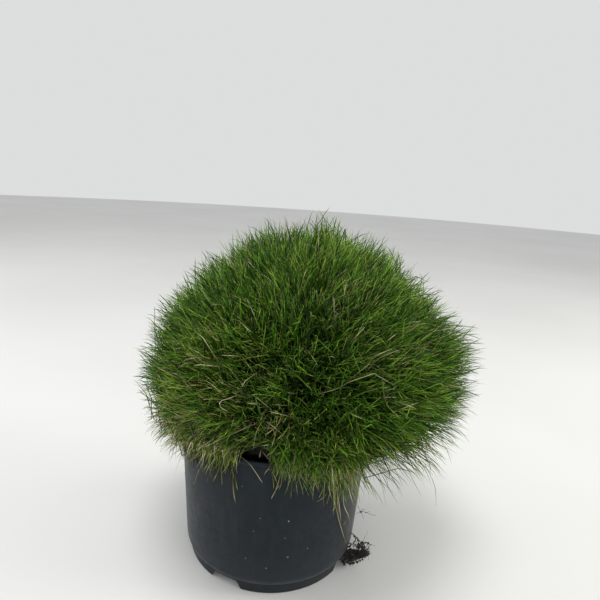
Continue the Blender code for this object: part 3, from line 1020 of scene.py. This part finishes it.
# Leaves lying down the wall: tone, width in shares, and the azimuth, height and distance off the wall of each
# place. A leaf of three places without a distance takes these.
HANG_OFFS = (0.008, 0.004, 0.001)
WALL_LEAVES = (
    (0.66, 1.3, (-59, 0.118, 0.006), (-55, 0.106, 0.003), (-53, 0.0966, 0.0016), (-51.4, 0.089, 0.0012)),
    (0.88, 1.05, (-51.8, 0.0915, 0.001), (-47.3, 0.0725, 0.001), (-40.8, 0.0508, 0.0008), (-32, 0.0262, 0.0008)),
    (0.95, 0.95, (-50.5, 0.112, 0.006), (-46, 0.0915, 0.002), (-42.7, 0.08, 0.0012), (-38.2, 0.0702, 0.001),
     (-32, 0.0525, 0.0008), (-29.1, 0.0423, 0.0008)),
    (0.9, 0.7, (-37.1, 0.0634, 0.0012), (-39.1, 0.0619, 0.001), (-40.9, 0.059, 0.0008)),
    (0.92, 0.8, (-52.3, 0.0896, 0.002), (-52.9, 0.0878, 0.0015), (-53.4, 0.0848, 0.001)),
    (0.6, 1.0, (-51, 0.1245, 0.008), (-41.5, 0.1055, 0.005), (-30, 0.082, 0.002), (-21.5, 0.062, 0.0015)),
    (0.6, 1.0, (-126, 0.1365), (-132.5, 0.1205), (-142, 0.093)),
    (0.66, 0.9, (-120, 0.1385), (-125, 0.121), (-129.5, 0.1055)),
    (0.58, 0.9, (-116.5, 0.135), (-121, 0.121), (-124, 0.112)),
    (0.7, 0.9, (-116, 0.1365), (-117, 0.1225), (-118, 0.113)),
    (0.55, 1.0, (-108.5, 0.1345), (-108.5, 0.121), (-108.5, 0.113)),
    (0.88, 0.8, (-91.5, 0.144), (-93.5, 0.1395), (-95, 0.133)),
    (0.84, 0.9, (-87, 0.129), (-89, 0.1185), (-90.5, 0.109)),
    (0.62, 0.9, (-91, 0.1415), (-90, 0.13), (-89.5, 0.1195)),
    (0.72, 0.9, (-86.5, 0.139), (-86, 0.1275), (-87, 0.117)),
    (0.52, 0.9, (-82, 0.137), (-82.5, 0.124), (-84, 0.112)),
    (0.56, 0.9, (-78, 0.1345), (-75.5, 0.1225), (-73.5, 0.111)),
    (0.5, 0.9, (-76.5, 0.132), (-73, 0.1195), (-70.5, 0.11)),
    (0.58, 0.9, (-74.5, 0.136), (-71, 0.124), (-68, 0.1135)),
    (0.9, 0.6, (-62.5, 0.114), (-63.5, 0.1065), (-65.5, 0.1015)),
    (0.6, 0.9, (-60.5, 0.1205), (-59, 0.1075), (-58.5, 0.095)),
    (0.54, 0.9, (-65.5, 0.125), (-64, 0.1135), (-64.5, 0.105)),
    (0.52, 0.9, (-53.5, 0.116), (-49, 0.101), (-47.5, 0.0895)),
    (0.57, 0.9, (-49.5, 0.1175), (-43, 0.1005), (-41.5, 0.087)),
    (0.97, 1.0, (-107, 0.15, 0.004), (-101, 0.142, 0.004), (-95, 0.124, 0.001)),
    (0.93, 0.8, (-96.8, 0.166, 0.003), (-96.6, 0.16, 0.007), (-97.1, 0.151, 0.005)),
    (0.9, 0.85, (-98.9, 0.164, 0.003), (-95.3, 0.158, 0.007), (-91.2, 0.148, 0.004)),
    (0.88, 0.85, (-93.1, 0.176, 0.003), (-93.1, 0.168, 0.008), (-93.3, 0.156, 0.006)),
    (0.92, 0.8, (-90.1, 0.175, 0.003), (-91.4, 0.167, 0.008), (-93.4, 0.154, 0.006)),
    (0.8, 0.9, (-90.5, 0.15, 0.003), (-92.6, 0.143, 0.006), (-94.8, 0.134, 0.003)),
    (0.86, 0.9, (-103.9, 0.166, 0.005), (-104.3, 0.16, 0.009), (-106.8, 0.152, 0.008)),
    (0.84, 0.9, (-86.2, 0.161, 0.003), (-88.5, 0.155, 0.007), (-89.3, 0.144, 0.005)),
    (0.8, 1.1, (-109.5, 0.131), (-110, 0.1125), (-109.5, 0.0985)),
    (0.88, 1.0, (30, 0.118, 0.006), (26, 0.098, 0.002), (24, 0.084, 0.001)),
    (0.74, 1.0, (150, 0.12, 0.006), (155, 0.1, 0.002), (157, 0.086, 0.001)),
)


def single_leaves(name, rows, material, first):
    """One mesh of leaves that stand out one by one, each with a tone, a width in shares and its places."""
    rng = np.random.default_rng(SEED + 3)
    curves = np.array([smooth_path(places, SINGLE_STATIONS) for _, _, places in rows])
    widths = LEAF_WIDTH * np.array([wide for _, wide, _ in rows])
    swatches = (np.array([tone for tone, _, _ in rows]) * (SWATCHES - 1)).astype(int)
    profile = (0.60, 0.85, 1.0, 1.0, 1.0, 0.95, 0.80, 0.60)
    return leaf_object(name, curves, widths, profile, swatches, material, rng, first)


def make_cushion_leaves(material):
    """Pale leaves that lie over the cushion."""
    rows = [(tone, wide * OVER_WIDTH, [on_cushion(*spot) for spot in spots]) for tone, wide, *spots in CUSHION_LEAVES]
    return single_leaves("fescue_pale_leaves", rows, material, first=0.12)


def make_hanging_leaves(material):
    """Leaves that hang free round the cushion and down the pot's wall."""
    rows = [(tone, FREE_WIDTH, [around(*spot) for spot in spots]) for tone, *spots in FREE_LEAVES]
    for tone, wide, *spots in WALL_LEAVES:
        places = [on_wall(*spot, *HANG_OFFS[k:k + 3 - len(spot)]) for k, spot in enumerate(spots)]
        rows.append((tone, wide * WALL_WIDTH, places))
    return single_leaves("fescue_hanging_leaves", rows, material, first=0.36)


def make_strays(material):
    """Thin leaves that hang out loosely below the cushion's widest part."""
    rng = np.random.default_rng(SEED + 4)
    count = STRAY_COUNT
    group = rng.random(count)
    right, left = group < 0.42, group > 0.78
    azimuth = np.where(right, rng.uniform(*STRAY_AZIMUTHS, count), rng.uniform(-180, 180, count))
    azimuth[left] = rng.uniform(*LEFT_AZIMUTHS, left.sum())
    elevation = rng.uniform(*STRAY_ELEVATIONS, count)
    elevation[left] = rng.uniform(*LEFT_ELEVATIONS, left.sum())
    directions = headings(azimuth, elevation)
    base = cushion_point(directions)
    start = toward(base, STRAY_ROOT)
    flat = unit(directions * (1, 1, 0))
    fall = np.clip((MIDDLE[2] + 0.01 - base[:, 2]) / 0.06, 0.1, 1.0)
    out = (rng.uniform(0.001, 0.014, count) + 0.006 * right + 0.005 * left) * (0.3 + 0.7 * fall)
    down = STRAY_DROP * rng.random(count) ** 1.6 * fall
    tips = base + flat * out[:, None] - UP * down[:, None]
    reach = np.linalg.norm(tips - start, axis=1, keepdims=True)
    launch = unit(base - MIDDLE + rng.normal(0, 0.02, (count, 3))) * reach
    landing = unit(flat * 0.8 - UP * fall[:, None] + rng.normal(0, 0.30, (count, 3))) * reach
    curves = hermite(start, launch, tips, landing, np.linspace(0, 1, 6))
    hem = np.maximum(hem_height(pot_azimuth(tips)), np.where(left, 0.0, LOOSE_HEM))
    whole = tips[:, 2] > hem - 0.002 + 0.30 * (pot_distance(tips) - RIM_RADIUS)
    whole &= ~in_parting(curves).any(axis=1)
    curves = clear_of_pot(curves[whole])
    widths = LEAF_WIDTH * rng.uniform(0.55, 0.85, len(curves))
    swatches = chosen_swatches(curves[:, -1], rng, extra=STRAY_DRY)
    profile = (0.8, 1.0, 1.0, 0.9, 0.6)
    return leaf_object("fescue_strays", curves, widths, profile, swatches, material, rng, first=0.20)


def add_tube(bm, path, thick, thin, sides=6):
    """A round tapering tube with closed ends along this path."""
    points = [Vector(p) for p in path]
    rings = []
    for i, point in enumerate(points):
        way = (points[min(i + 1, len(points) - 1)] - points[max(i - 1, 0)]).normalized()
        side = way.cross(Vector((0.31, 0.17, 0.93))).normalized()
        other = way.cross(side)
        size = thick + (thin - thick) * i / (len(points) - 1)
        ring = []
        for k in range(sides):
            angle = math.tau * k / sides
            ring.append(bm.verts.new(point + (side * math.cos(angle) + other * math.sin(angle)) * size))
        rings.append(ring)
    for lower, upper in zip(rings, rings[1:]):
        for k in range(sides):
            bm.faces.new((lower[k], lower[(k + 1) % sides], upper[(k + 1) % sides], upper[k]))
    bm.faces.new(rings[0][::-1])
    bm.faces.new(rings[-1])


def add_crumb(bm, place, size, rng):
    """A small uneven grain."""
    made = bmesh.ops.create_icosphere(bm, subdivisions=2, radius=1.0)["verts"]
    stretch = rng.uniform(0.6, 1.2, 3) * size
    lumps = rng.normal(size=3) * 2.0
    for vert in made:
        rough = 1 + 0.35 * noise.noise(vert.co * 1.7 + Vector(lumps))
        vert.co = Vector(np.array(vert.co) * stretch * rough) + Vector(place)


# Loops of root over the lump, in metres from its middle: outward, across and up
ROOT_LOOPS = (
    ((-0.004, 0.0, 0.008), (-0.002, 0.001, 0.015), (0.0015, 0.001, 0.0195), (0.0055, 0.001, 0.02),
     (0.0095, 0.0005, 0.018)),
    ((0.001, 0.001, 0.02), (-0.004, 0.002, 0.019), (-0.0065, 0.003, 0.023), (-0.002, 0.004, 0.026)),
    ((0.003, 0.002, 0.02), (0.004, 0.003, 0.026), (0.0, 0.003, 0.03), (-0.004, 0.002, 0.029)),
    ((0.008, 0.0, 0.018), (0.0085, 0.001, 0.023), (0.007, 0.002, 0.0275), (0.004, 0.002, 0.03)),
    ((0.01, 0.0, 0.018), (0.0125, 0.001, 0.024), (0.0165, 0.002, 0.027), (0.019, 0.002, 0.0255)),
    ((0.012, 0.0, 0.018), (0.015, 0.0, 0.0215), (0.014, 0.001, 0.0245), (0.0105, 0.001, 0.025)),
)

# Crumbs on the lump and along its front edge, its rootlets, and the crumbs held by the roots above its outer end
LUMP_CRUMBS = 230
EDGE_CRUMBS = 34
ROOTLETS = 40
CLUSTER_CRUMBS = 60
CLUSTER_MIDDLE = (0.0115, 0.0010, 0.0205)
CLUSTER_SPREAD = (0.0022, 0.0020, 0.0027)


def raised(points, half):
    """The lump's points with its outer end bent up."""
    past_bend = np.clip(points[..., 0] / half[0] - LUMP_BEND, 0, None) / (1 - LUMP_BEND)
    points[..., 2] += LUMP_RISE * past_bend**1.3
    return points


def make_drain_roots(material):
    """The crumbly lump of earth at the foot with the roots that bind it."""
    rng = np.random.default_rng(SEED + 5)
    turn = Matrix.Translation((POT_X, 0.0, 0.0)) @ Matrix.Rotation(LUMP_AZIMUTH, 4, "Z")
    turn = turn @ Matrix.Translation((LUMP_RADIUS, 0.0, 0.0))
    half = np.array((LUMP_LENGTH, LUMP_WIDTH, LUMP_HEIGHT)) / 2
    bm, points = ball()
    ways = unit(points)
    points = points * half * (1 + 0.12 * waves(points, 0.7, 11))[:, None]
    rough = 0.0012 * waves(points, 0.0050, 12) + 0.0009 * waves(points, 0.0022, 13)
    points += ways * rough[:, None]
    points[:, 2] = np.maximum(points[:, 2], -0.9 * half[2]) + half[2] * 0.9 + 0.0004
    outer = np.clip(points[:, 0] / half[0], 0, 1)
    points[:, 2] += np.clip(half[2] - points[:, 2], 0, None) * 0.9 * outer
    set_points(bm, raised(points, half))

    def add_lump_crumb(x, y, z, lift, size):
        place = raised(np.array((x, y, z)), half)
        place[2] = max(place[2] + lift, size * 1.7)
        add_crumb(bm, place, size, rng)

    for _ in range(LUMP_CRUMBS):
        angle = rng.uniform(0, math.tau)
        spread = rng.uniform(0.5, 1.02)
        x, y = math.cos(angle) * half[0] * spread, math.sin(angle) * half[1] * spread
        size = rng.uniform(0.0004, 0.0012)
        side = 1.0 if rng.random() < 0.6 else 0.9 * max(0.0, x / half[0]) - 1.0
        z = half[2] * (0.95 + side * 0.9 * max(0.0, 1 - spread * spread) ** 0.5)
        add_lump_crumb(x, y, z, rng.uniform(-0.0006, 0.0010), size)
    for _ in range(EDGE_CRUMBS):
        share = rng.uniform(-0.3, 0.95)
        y = -half[1] * (1 - share * share) ** 0.5 * rng.uniform(0.7, 1.15)
        z = half[2] * (0.5 + 0.4 * max(0.0, share))
        add_lump_crumb(share * half[0], y, z, -rng.uniform(0.0, 0.0022), rng.uniform(0.0005, 0.0013))
    for loop in ROOT_LOOPS:
        path = smooth_path(loop, 15)
        path[1:-1] += rng.normal(0, 0.00035, (13, 3))
        add_tube(bm, path, thick=0.00060, thin=0.00035)
        for place in path[2:-1:2]:
            add_crumb(bm, place + rng.normal(0, 0.0007, 3), rng.uniform(0.0005, 0.0014), rng)
    for _ in range(CLUSTER_CRUMBS):
        place = np.array(CLUSTER_MIDDLE) + rng.normal(0, 1, 3) * CLUSTER_SPREAD
        add_crumb(bm, place, rng.uniform(0.0003, 0.0010), rng)
    for _ in range(ROOTLETS):
        x, y = rng.uniform(-0.2, 0.95) * half[0], rng.uniform(-0.5, 0.5) * half[1]
        start = raised(np.array((x, y, 0.006)), half)
        rise = rng.uniform(0.002, 0.010)
        lean = rng.normal(0, 0.0035, 3)
        end = start + lean * 1.6 + UP * (rise * rng.uniform(0.1, 1.0))
        path = smooth_path((start, start + lean * 0.6 + UP * rise, end), 9)
        path[1:] += rng.normal(0, 0.00025, (8, 3))
        path[:, 2] = np.maximum(path[:, 2], 0.0008)
        add_tube(bm, path, thick=rng.uniform(0.00016, 0.00030), thin=0.0001, sides=5)
        if rng.random() < 0.4:
            add_crumb(bm, path[5], rng.uniform(0.0004, 0.0009), rng)
    bm.transform(turn)
    bmesh.ops.recalc_face_normals(bm, faces=bm.faces)
    return placed(mesh_from(bm, "lump"), "earth_and_roots", material)


# A wisp of dry root caught on the tip of a leaf: points in metres from the leaf's tip, to the right and down
WISP_LINES = (
    ((0.0, 0.0), (0.002, -0.0035), (0.0038, -0.007)),
    ((0.0038, -0.007), (0.006, -0.0115), (0.0078, -0.015)),
    ((0.0038, -0.0068), (0.0085, -0.0066), (0.0135, -0.0086), (0.02, -0.0112)),
    ((0.003, -0.0074), (0.0005, -0.0092), (-0.0012, -0.0092)),
    ((0.0042, -0.006), (0.0062, -0.0042), (0.0078, -0.004)),
    ((0.0085, -0.0078), (0.011, -0.0062), (0.0135, -0.0056)),
)

# The leaf's tip on the wall, and the wisp's crumbs: place from the tip and size
WISP_TIP = (-21.5, 0.062, 0.0015)
WISP_CRUMBS = (((0.0038, 0.0, -0.007), 0.001), ((0.0036, 0.0003, -0.0078), 0.0006))


def make_wisp(material):
    """A dark wisp of dry root at the pot's right edge."""
    rng = np.random.default_rng(SEED + 6)
    tip = on_wall(*WISP_TIP)
    bm = bmesh.new()
    for line in WISP_LINES:
        points = [tip + np.array((x, 0.001 * math.sin(400 * x), z)) for x, z in line]
        path = smooth_path(points, 8)
        path[1:-1] += rng.normal(0, 0.00012, (6, 3))
        add_tube(bm, path, thick=0.00024, thin=0.00012, sides=5)
    for place, size in WISP_CRUMBS:
        add_crumb(bm, tip + place, size, rng)
    bmesh.ops.recalc_face_normals(bm, faces=bm.faces)
    return placed(mesh_from(bm, "wisp"), "fescue_wisp", material)


def floor_material():
    n = Nodes("pale_floor")
    cloud = n.noise(n.place(), 1.5)
    return n.surface(Base_Color=n.ramp(cloud, (0.3, (0.64, 0.64, 0.63)), (0.7, (0.69, 0.69, 0.68))), Roughness=0.85)


def make_floor():
    bm = bmesh.new()
    bmesh.ops.create_circle(bm, cap_ends=True, segments=96, radius=SURFACE_RADIUS)
    return placed(mesh_from(bm, "floor"), "floor", floor_material())


# Surface and lights: name, place, size, watts and colour of each light, all aimed at one place
SURFACE_RADIUS = 6.0
WORLD_COLOUR = (0.90, 0.91, 0.91, 1.0)
WORLD_STRENGTH = 0.80
LIGHT_TARGET = (0.0, 0.0, 0.18)
LIGHTS = (
    ("key", (-0.15, -0.35, 1.55), 0.6, 11.0, (1.0, 0.99, 0.95)),
    ("left", (-2.2, 0.50, 0.95), 1.1, 17.0, (0.96, 0.98, 1.0)),
    ("right", (2.2, -0.10, 0.90), 1.1, 30.0, (1.0, 0.96, 0.91)),
    ("front", (-0.1, -1.9, 0.85), 1.0, 4.5, (0.97, 0.99, 1.0)),
)


def make_lights():
    world = bpy.data.worlds.new("studio")
    world.use_nodes = True
    background = world.node_tree.nodes["Background"].inputs
    background["Color"].default_value = WORLD_COLOUR
    background["Strength"].default_value = WORLD_STRENGTH
    bpy.context.scene.world = world
    for name, place, size, watts, colour in LIGHTS:
        light = bpy.data.lights.new(name, "AREA")
        light.shape = "DISK"
        light.size, light.energy, light.color = size, watts, colour
        obj = link(bpy.data.objects.new(name, light))
        obj.location = place
        obj.rotation_euler = (Vector(LIGHT_TARGET) - Vector(place)).to_track_quat("-Z", "Y").to_euler()


def set_tones():
    """Plain display tones, close to those of a daylight photograph."""
    settings = bpy.context.scene.view_settings
    settings.view_transform = "Standard"
    settings.look = "None"


def make_camera():
    camera = bpy.data.cameras.new("camera")
    camera.lens = LENS_MM
    camera.sensor_width = SENSOR_MM
    camera.clip_start, camera.clip_end = 0.02, 30.0
    obj = link(bpy.data.objects.new("camera", camera))
    right, down, forward = (Vector(v) for v in (CAMERA_RIGHT, CAMERA_DOWN, CAMERA_FORWARD))
    columns = Matrix((right, -down, -forward)).transposed()
    obj.matrix_world = Matrix.Translation(CAMERA_PLACE) @ columns.to_4x4()
    bpy.context.scene.camera = obj


def dress(obj, slot_name, *nodes):
    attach(obj, "root")
    if nodes:
        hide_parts(*nodes)


make_camera()
make_lights()
set_tones()
make_floor()

leaf = leaf_material()
for piece in make_leaves(leaf):
    dress(piece, "grass", "fescue")
for make in (make_skirt, make_pale, make_strays, make_cushion_leaves, make_hanging_leaves):
    dress(make(leaf), "grass", "fescue")
dress(make_core(core_material()), "grass", "fescue")
dress(make_pot(plastic_material()), "black_plastic", "pot")

roots = root_material()
dress(make_wisp(roots), "roots", "fescue")
dress(make_drain_roots(roots), "roots", "drain_roots")

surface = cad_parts["potting_mix"]
surface.data.materials.clear()
surface.data.materials.append(mix_material())
